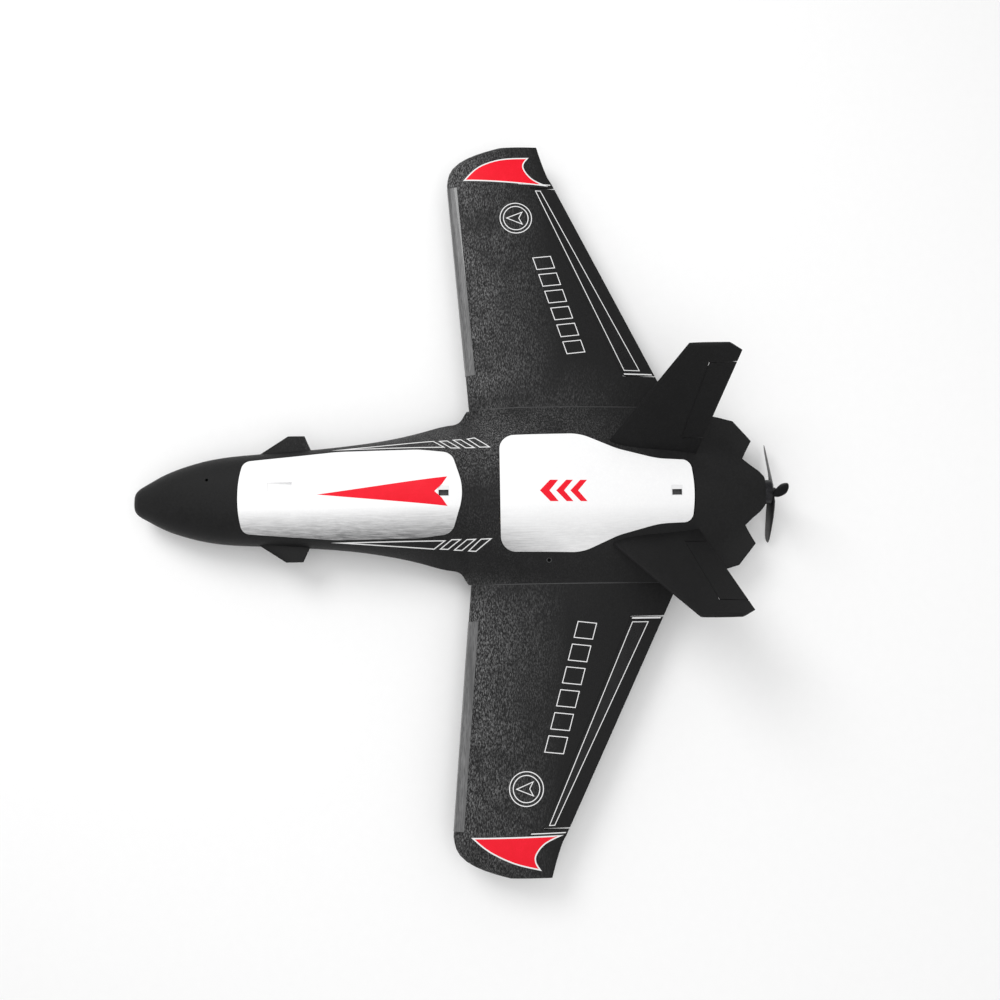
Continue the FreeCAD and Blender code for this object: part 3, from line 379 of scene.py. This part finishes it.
def pull_plastic(name):
    """White rim, with painted shade in dark grey on the cup's inside below it."""
    made = speckled(name + "_plastic", (0.02, 0.02, 0.021), (0.05, 0.05, 0.052), 1300.0, (0.35, 0.55), 0.1)
    tree = made.node_tree
    shader = tree.nodes["Principled BSDF"]
    cup_shade_colour = shader.inputs["Base Color"].links[0].from_socket
    place = tree.nodes.new("ShaderNodeTexCoord").outputs["Object"]
    height = add(tree, "ShaderNodeSeparateXYZ", wired={"Vector": place}).outputs[2]
    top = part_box(name)[1].z
    # Painted shade: below the rim the cup is coloured dark grey.
    rim = spread(tree, height, 0.0, 1.0, top - 0.0024, top - 0.0016)
    tree.links.new(blend_colour(tree, rim, cup_shade_colour, (0.78, 0.78, 0.785)), shader.inputs["Base Color"])
    return made


for name in ("front_finger_pull", "rear_finger_pull"):
    paint(pull_plastic(name), name)

# ---------------------------------------------------------------------------------------------------
# Steel and magnets: music-wire pushrods with fine drawing lines, zinc screws, nickel-plated magnets.
# ---------------------------------------------------------------------------------------------------
steel = speckled(
    "music_wire", (0.35, 0.35, 0.36), (0.62, 0.62, 0.63), 2400.0, (0.2, 0.4), 0.1,
    stretch=(1.0, 0.1, 1.0), metallic=1.0
)
for side in ("_left", "_right"):
    paint(steel, "aileron_pushrod" + side, "ruddervator_pushrod" + side)
paint(steel, "motor_screws")
nickel = speckled(
    "nickel_plate", (0.55, 0.54, 0.52), (0.8, 0.79, 0.77), 1100.0, (0.1, 0.24), 0.05, metallic=1.0
)
paint(nickel, "front_hatch_magnets", "rear_hatch_magnets", "hatch_keeper_magnets")

# ---------------------------------------------------------------------------------------------------
# Carbon spars and fin rods: pultruded tube under clear resin, with a twill weave in the outer wrap.
# TWILL sets how closely the weave's tows lie.
# ---------------------------------------------------------------------------------------------------
TWILL = 900.0


def carbon_weave():
    made, tree, shader, place = new_material("carbon_weave")
    axes = add(tree, "ShaderNodeSeparateXYZ", wired={"Vector": place})
    across = math_node(tree, "MULTIPLY", math_node(tree, "ADD", axes.outputs[0], axes.outputs[1]), TWILL)
    along = math_node(tree, "MULTIPLY", math_node(tree, "SUBTRACT", axes.outputs[0], axes.outputs[1]), TWILL)
    warp = math_node(tree, "SINE", across)
    weft = math_node(tree, "SINE", along)
    cross = spread(tree, math_node(tree, "MULTIPLY", warp, weft), 0.0, 1.0, -1.0, 1.0)
    colour = blend_colour(tree, cross, (0.008, 0.008, 0.009), (0.045, 0.045, 0.048))
    tree.links.new(colour, shader.inputs["Base Color"])
    tree.links.new(spread(tree, cross, 0.22, 0.42), shader.inputs["Roughness"])
    relief(tree, shader, cross, 0.2, 0.0001)
    shader.inputs["Coat Weight"].default_value = 0.6
    return made


paint(carbon_weave(), "main_spar", "rear_spar", "fin_spar_left", "fin_spar_right")

# ---------------------------------------------------------------------------------------------------
# Plywood: motor mount, battery tray and hatch tongues, birch with fine grain running fore and aft.
# ---------------------------------------------------------------------------------------------------


def plywood():
    made, tree, shader, place = new_material("birch_ply")
    drawn = add(tree, "ShaderNodeMapping", wired={"Vector": place, "Scale": (1.0, 0.06, 1.0)})
    grain = add(tree, "ShaderNodeTexNoise", wired={"Vector": drawn.outputs[0], "Scale": 260.0, "Detail": 6.0})
    share = spread(tree, grain.outputs[0], 0.0, 1.0, 0.32, 0.68)
    colour = blend_colour(tree, share, (0.36, 0.22, 0.11), (0.62, 0.43, 0.24))
    tree.links.new(colour, shader.inputs["Base Color"])
    tree.links.new(spread(tree, share, 0.5, 0.7), shader.inputs["Roughness"])
    relief(tree, shader, grain.outputs[0], 0.25, 0.0002)
    return made


paint(plywood(), "battery_tray", "motor_mount", "front_hatch_tongues", "rear_hatch_tongues")

# ---------------------------------------------------------------------------------------------------
# Motor and propeller: hard-anodised black bell on a copper-wound stator, and a three-bladed propeller
# of glass-filled nylon clamped by a black dome nut.
# ---------------------------------------------------------------------------------------------------
anodised = speckled(
    "black_anodise", (0.012, 0.012, 0.014), (0.035, 0.035, 0.038), 1800.0, (0.24, 0.4), 0.06, metallic=0.7
)
paint(anodised, "motor_bell", "prop_adapter")
nylon = speckled(
    "glass_nylon", (0.006, 0.006, 0.0065), (0.02, 0.02, 0.021), 900.0, (0.28, 0.46), 0.1,
    stretch=(1.0, 1.0, 0.3)
)
paint(nylon, "propeller")
copper = speckled(
    "copper_wire", (0.32, 0.12, 0.04), (0.7, 0.33, 0.15), 1400.0, (0.25, 0.42), 0.3,
    stretch=(1.0, 0.1, 1.0), metallic=1.0
)
paint(copper, "motor_stator")

# ---------------------------------------------------------------------------------------------------
# What the bays hold: the battery in blue shrink wrap, its woven strap, the speed controller's finned
# heat sink, the leads and the hard skid under the belly.
# ---------------------------------------------------------------------------------------------------
wrap = speckled("shrink_wrap", (0.012, 0.03, 0.16), (0.03, 0.07, 0.3), 120.0, (0.2, 0.36), 0.35, gloss=0.4)
paint(wrap, "battery")
finned = speckled(
    "heat_sink_metal", (0.18, 0.18, 0.19), (0.34, 0.34, 0.36), 1600.0, (0.3, 0.5), 0.1,
    stretch=(1, 0.1, 1), metallic=0.9
)
paint(finned, "speed_controller")
silicone = speckled("silicone_lead", (0.32, 0.012, 0.01), (0.5, 0.03, 0.024), 700.0, (0.4, 0.6), 0.08)
paint(silicone, "power_leads")
skid = speckled(
    "skid_plastic", (0.014, 0.014, 0.015), (0.05, 0.05, 0.052), 600.0, (0.3, 0.55), 0.2,
    stretch=(1.0, 0.1, 1.0)
)
paint(skid, "belly_skid")


def webbing():
    made, tree, shader, place = new_material("strap_webbing")
    axes = add(tree, "ShaderNodeSeparateXYZ", wired={"Vector": place})
    warp = math_node(tree, "SINE", math_node(tree, "MULTIPLY", axes.outputs[1], 4200.0))
    weft = math_node(tree, "SINE", math_node(tree, "MULTIPLY", axes.outputs[0], 3600.0))
    ribs = spread(tree, math_node(tree, "MULTIPLY", warp, weft), 0.0, 1.0, -1.0, 1.0)
    colour = blend_colour(tree, ribs, (0.01, 0.01, 0.011), (0.05, 0.05, 0.052))
    tree.links.new(colour, shader.inputs["Base Color"])
    tree.links.new(spread(tree, ribs, 0.7, 0.9), shader.inputs["Roughness"])
    relief(tree, shader, ribs, 0.5, 0.0003)
    return made


paint(webbing(), "battery_strap")

# ---------------------------------------------------------------------------------------------------
# Wing tip films: red printed vinyl with a white border, cut to a fin shape and pressed on each tip.
# Outlines are in millimetres about the propeller hub: X to the left wing, Y aft.
# ---------------------------------------------------------------------------------------------------
HUB_AFT = 0.5395
FILM_THICK = 0.00012


def vinyl(name, dark, light, rough=(0.42, 0.55)):
    made = speckled(name, dark, light, 500.0, rough, 0.05)
    made.node_tree.nodes["Principled BSDF"].inputs["Specular IOR Level"].default_value = 0.2
    return made


WHITE_VINYL = vinyl("white_vinyl", (0.8, 0.8, 0.8), (0.9, 0.9, 0.9))
RED_VINYL = vinyl("red_vinyl", (0.8, 0.002, 0.016), (0.9, 0.006, 0.028))
BLACK_VINYL = vinyl("black_vinyl", (0.006, 0.006, 0.0065), (0.014, 0.014, 0.0145), (0.24, 0.36))


def pull_to_outline(piece, outline):
    """Moves a flat ring's corners, one by one, to an outline that runs the same way round."""
    corners = [v.co.copy() for v in piece.data.vertices]
    count = len(corners)

    def area(points):
        return sum(points[i - 1][0] * points[i][1] - points[i][0] * points[i - 1][1] for i in range(count))

    if area(outline) * area(corners) < 0.0:
        outline = outline[::-1]
    bpy.ops.object.mode_set(mode="EDIT")
    bpy.ops.mesh.select_mode(type="VERT")
    for i in range(count):
        bpy.ops.mesh.select_all(action="DESELECT")
        bpy.ops.object.mode_set(mode="OBJECT")
        piece.data.vertices[i].select = True
        bpy.ops.object.mode_set(mode="EDIT")
        shift = (outline[i][0] - corners[i].x, outline[i][1] - corners[i].y, 0.0)
        bpy.ops.transform.translate(value=shift)
    bpy.ops.object.mode_set(mode="OBJECT")


def slice_evenly(piece, step):
    """Cuts a flat piece along evenly spaced lines both ways, so that it can follow a curved skin."""
    spots = [v.co.copy() for v in piece.data.vertices]
    bpy.ops.object.mode_set(mode="EDIT")
    for axis in (0, 1):
        low = min(p[axis] for p in spots)
        high = max(p[axis] for p in spots)
        count = int((high - low) / step)
        for i in range(1, count + 1):
            at = [0.0, 0.0, 0.0]
            at[axis] = low + (high - low) * i / (count + 1)
            normal = [0.0, 0.0, 0.0]
            normal[axis] = 1.0
            bpy.ops.mesh.select_all(action="SELECT")
            bpy.ops.mesh.bisect(plane_co=at, plane_no=normal)
    bpy.ops.mesh.select_all(action="SELECT")
    bpy.ops.mesh.quads_convert_to_tris()
    bpy.ops.object.mode_set(mode="OBJECT")


def lay_on(piece, target):
    """Drops a flat piece straight down on a CAD surface and gives it the thickness of a film."""
    wrapped = piece.modifiers.new("lay", "SHRINKWRAP")
    wrapped.target = node[target]
    wrapped.wrap_method = "PROJECT"
    wrapped.use_project_z = True
    wrapped.use_negative_direction = True
    wrapped.use_positive_direction = False
    wrapped.offset = 0.00006
    bpy.ops.object.modifier_apply(modifier="lay")
    thick = piece.modifiers.new("film", "SOLIDIFY")
    thick.thickness = FILM_THICK
    thick.offset = 1.0
    bpy.ops.object.modifier_apply(modifier="film")


def film(name, outline, target, body, materials, border=0.0, hollow=False, step=0.009):
    """Vinyl cut to an outline in hub millimetres. The border takes the first material, the field the last."""
    points = [(x / 1000.0, y / 1000.0 + HUB_AFT) for x, y in outline]
    drop_selection()
    bpy.ops.mesh.primitive_circle_add(vertices=len(points), radius=0.01, fill_type="NGON", location=(0, 0, 0))
    piece = bpy.context.object
    piece.name = name
    piece.data.name = name
    pull_to_outline(piece, points)
    for material in materials:
        piece.data.materials.append(material)
    if border > 0.0:
        bpy.ops.object.mode_set(mode="EDIT")
        bpy.ops.mesh.select_mode(type="FACE")
        bpy.ops.mesh.select_all(action="SELECT")
        bpy.ops.mesh.inset(thickness=border / 1000.0, use_even_offset=True)
        if hollow:
            bpy.ops.mesh.delete(type="FACE")
        else:
            piece.active_material_index = len(materials) - 1
            bpy.ops.object.material_slot_assign()
        bpy.ops.object.mode_set(mode="OBJECT")
    slice_evenly(piece, step)
    bpy.ops.object.mode_set(mode="EDIT")
    bpy.ops.mesh.select_all(action="SELECT")
    bpy.ops.transform.translate(value=(0.0, 0.0, 0.4))
    bpy.ops.object.mode_set(mode="OBJECT")
    lay_on(piece, target)
    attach(piece, body)
    return piece


def curve_through(points, count):
    """Smooth run of points through a few corners (Catmull-Rom)."""
    padded = [points[0]] + list(points) + [points[-1]]
    run = []
    for i in range(1, len(padded) - 2):
        a, b, c, d = padded[i - 1 : i + 3]
        for k in range(count):
            t = k / count
            run.append(
                tuple(
                    0.5
                    * (
                        2 * b[j]
                        + (c[j] - a[j]) * t
                        + (2 * a[j] - 5 * b[j] + 4 * c[j] - d[j]) * t * t
                        + (3 * b[j] - a[j] - 3 * c[j] + d[j]) * t**3
                    )
                    for j in (0, 1)
                )
            )
    return run + [points[-1]]


def tip_outline(nose, outer, notch, tail):
    outer_edge = curve_through([nose] + outer, 5)
    rear_edge = curve_through([outer[-1]] + notch + [tail], 4)
    return outer_edge + rear_edge[1:]


left_tip = tip_outline(
    (561.0, -522.0), [(584.0, -493.0), (604.0, -452.0), (616.0, -408.0)],
    [(602.0, -416.5), (589.0, -415.0), (573.0, -400.0)], (560.5, -371.0)
)
right_tip = tip_outline(
    (-563.0, -522.0), [(-588.0, -495.0), (-602.5, -456.0), (-607.0, -405.0)],
    [(-593.0, -414.5), (-580.0, -411.0), (-565.5, -397.0)], (-554.0, -371.0)
)
film("tip_film_left", left_tip, "wing_left", "airframe", [WHITE_VINYL, RED_VINYL], 2.2)
film("tip_film_right", right_tip, "wing_right", "airframe", [WHITE_VINYL, RED_VINYL], 2.2)

# ---------------------------------------------------------------------------------------------------
# Wing roundels: a plain double ring with an open delta inside, cut from white vinyl, one on each wing.
# ---------------------------------------------------------------------------------------------------


def ring_outline(x, y, radius, corners=44):
    return [
        (x + radius * math.cos(2 * math.pi * i / corners), y + radius * math.sin(2 * math.pi * i / corners))
        for i in range(corners)
    ]


for side, x, y in (("left", 485.0, -430.5), ("right", -492.0, -430.0)):
    wing = "wing_" + side
    film("roundel_outer_" + side, ring_outline(x, y, 28.5), wing, "airframe", [WHITE_VINYL], 1.5, True)
    film("roundel_inner_" + side, ring_outline(x, y, 22.5), wing, "airframe", [WHITE_VINYL], 1.5, True)
    delta = [(x, y - 18.0), (x + 12.5, y + 12.5), (x, y + 6.0), (x - 12.5, y + 12.5)]
    film("roundel_delta_" + side, delta, wing, "airframe", [WHITE_VINYL], 1.4, True)

# ---------------------------------------------------------------------------------------------------
# Wing bars: a row of open slanted bars in white vinyl along the inner part of each wing.
# ---------------------------------------------------------------------------------------------------


def slanted_bar(start, along, up, left, right, lean):
    """Open parallelogram between two distances along the row, leaning with its height."""
    corners = [(left, 0.0), (right, 0.0), (right + lean, 1.0), (left + lean, 1.0)]
    return [
        (start[0] + along[0] * a + up[0] * b, start[1] + along[1] * a + up[1] * b) for a, b in corners
    ]


bar_rows = {
    "left": ((431.0, -368.0), (-0.962, 0.274), (-8.6, -31.0), 232.0),
    "right": ((-248.0, -314.0), (-0.952, -0.305), (8.6, -31.0), 192.0),
}
for side, (start, along, up, length) in bar_rows.items():
    pitch = length / 6.0
    for i in range(6):
        lean = -5.0 if side == "left" else 5.0
        bar = slanted_bar(start, along, up, pitch * i, pitch * (i + 0.74), lean)
        film(f"wing_bar_{side}_{i + 1}", bar, "wing_" + side, "airframe", [WHITE_VINYL], 1.4, True, 0.012)

# ---------------------------------------------------------------------------------------------------
# Aileron stripes: a tapering glossy black panel with a white border, and a white line across each end.
# ---------------------------------------------------------------------------------------------------
for side, s in (("left", 1.0), ("right", -1.0)):
    surface = "aileron_" + side
    panel = [(216.0 * s, -247.5), (545.0 * s, -395.0), (545.0 * s, -385.0), (216.0 * s, -219.0)]
    film("aileron_panel_" + side, panel, surface, surface, [WHITE_VINYL, BLACK_VINYL], 1.3, False, 0.02)
    inner = [(209.0 * s, -247.0), (211.2 * s, -248.0), (211.2 * s, -198.5), (209.0 * s, -197.5)]
    film("aileron_inner_line_" + side, inner, surface, surface, [WHITE_VINYL], 0.0, False, 0.01)
    outer = [(556.0 * s, -424.0), (557.6 * s, -424.6), (557.6 * s, -367.6), (556.0 * s, -367.0)]
    film("aileron_outer_line_" + side, outer, "wing_" + side, "airframe", [WHITE_VINYL], 0.0, False, 0.01)

# ---------------------------------------------------------------------------------------------------
# Hatch markings: a long red arrow on the front lid and three red chevrons on the rear lid.
# ---------------------------------------------------------------------------------------------------
arrow = [(0.0, -768.0), (24.4, -552.0), (11.0, -561.0), (0.0, -573.0), (-11.0, -561.0), (-24.4, -552.0)]
film("hatch_arrow", arrow, "front_hatch", "front_hatch", [RED_VINYL], 0.0, False, 0.008)
for i, (tip_y, deep) in enumerate(((-400.0, 22.0), (-373.0, 18.0), (-349.5, 18.0))):
    chevron = [
        (0.0, tip_y), (17.8, tip_y + 17.0), (17.8, tip_y + 17.0 + deep * 0.62), (0.0, tip_y + deep * 0.72),
        (-17.8, tip_y + 17.0 + deep * 0.62), (-17.8, tip_y + 17.0)
    ]
    film(f"hatch_chevron_{i + 1}", chevron, "rear_hatch", "rear_hatch", [RED_VINYL], 0.0, False, 0.008)

# ---------------------------------------------------------------------------------------------------
# Pod stripes: on each side of the fuselage a long open triangle and three open slanted bars behind it.
# ---------------------------------------------------------------------------------------------------
for side, s in (("left", 1.0), ("right", -1.0)):
    blade = [(78.0 * s, -749.0), (92.0 * s, -577.0), (78.0 * s, -556.0)]
    film("pod_blade_" + side, blade, "fuselage_upper", "airframe", [WHITE_VINYL], 1.5, True, 0.01)
    slants = [
        [(91.9, -568.8), (92.7, -553.8), (76.3, -530.4), (76.4, -547.0)],
        [(93.8, -545.5), (94.7, -530.6), (76.3, -505.4), (76.5, -522.0)],
        [(95.5, -521.4), (96.8, -507.3), (76.2, -479.6), (76.5, -498.7)],
    ]
    for i, slant in enumerate(slants):
        outline = [(x * s, y) for x, y in slant]
        name = f"pod_slant_{side}_{i + 1}"
        film(name, outline, "fuselage_upper", "airframe", [WHITE_VINYL], 1.5, True, 0.008)

# ---------------------------------------------------------------------------------------------------
# Stage: a plain pale floor, soft studio light from ahead and to the right, and the camera above.
# ---------------------------------------------------------------------------------------------------
drop_selection()
bpy.ops.mesh.primitive_plane_add(size=14.0, location=(0.0, 0.0, -0.0005))
floor = bpy.context.object
floor.name = "floor"
floor_material, tree, shader, place = new_material("floor_paper")
fibre = add(tree, "ShaderNodeTexNoise", wired={"Vector": place, "Scale": 60.0, "Detail": 3.0})
paper = blend_colour(tree, fibre.outputs[0], (0.93, 0.93, 0.93), (0.95, 0.95, 0.95))
tree.links.new(paper, shader.inputs["Base Color"])
tree.links.new(spread(tree, fibre.outputs[0], 0.85, 0.95), shader.inputs["Roughness"])
floor.data.materials.append(floor_material)


def lamp(name, place_at, aim, size, power):
    data = bpy.data.lights.new(name, "AREA")
    data.shape = "DISK"
    data.size = size
    data.energy = power
    made = bpy.data.objects.new(name, data)
    made.location = place_at
    bpy.context.scene.collection.objects.link(made)
    made.rotation_euler = (Vector(aim) - Vector(place_at)).to_track_quat("-Z", "Y").to_euler()
    return made


lamp("key_light", (-1.5, -1.2, 2.4), (0.0, 0.0, 0.0), 1.6, 34.0)
lamp("top_light", (0.2, 0.3, 3.2), (0.0, 0.0, 0.0), 3.0, 26.0)
lamp("fill_light", (1.8, 1.2, 1.8), (0.0, 0.0, 0.0), 2.0, 4.0)
world = bpy.data.worlds.new("studio")
world.use_nodes = True
world.node_tree.nodes["Background"].inputs[0].default_value = (1.0, 1.0, 1.0, 1.0)
world.node_tree.nodes["Background"].inputs[1].default_value = 0.62
bpy.context.scene.world = world
bpy.context.scene.view_settings.view_transform = "Standard"

TILT = math.radians(7.62)
ROLL = math.radians(-0.95)
right = (0.0, 1.0, 0.0)
up = (-math.cos(TILT), 0.0, math.sin(TILT))
turned_right = [math.cos(ROLL) * right[i] + math.sin(ROLL) * up[i] for i in range(3)]
turned_up = [-math.sin(ROLL) * right[i] + math.cos(ROLL) * up[i] for i in range(3)]
back = (math.sin(TILT), 0.0, math.cos(TILT))
camera_data = bpy.data.cameras.new("camera")
camera_data.lens = 37.0
camera_data.sensor_width = 36.0
camera = bpy.data.objects.new("camera", camera_data)
bpy.context.scene.collection.objects.link(camera)
spot = (0.239, 0.0735, 1.802)
rows = [(turned_right[i], turned_up[i], back[i], spot[i]) for i in range(3)]
camera.matrix_world = Matrix(rows + [(0.0, 0.0, 0.0, 1.0)])
bpy.context.scene.camera = camera
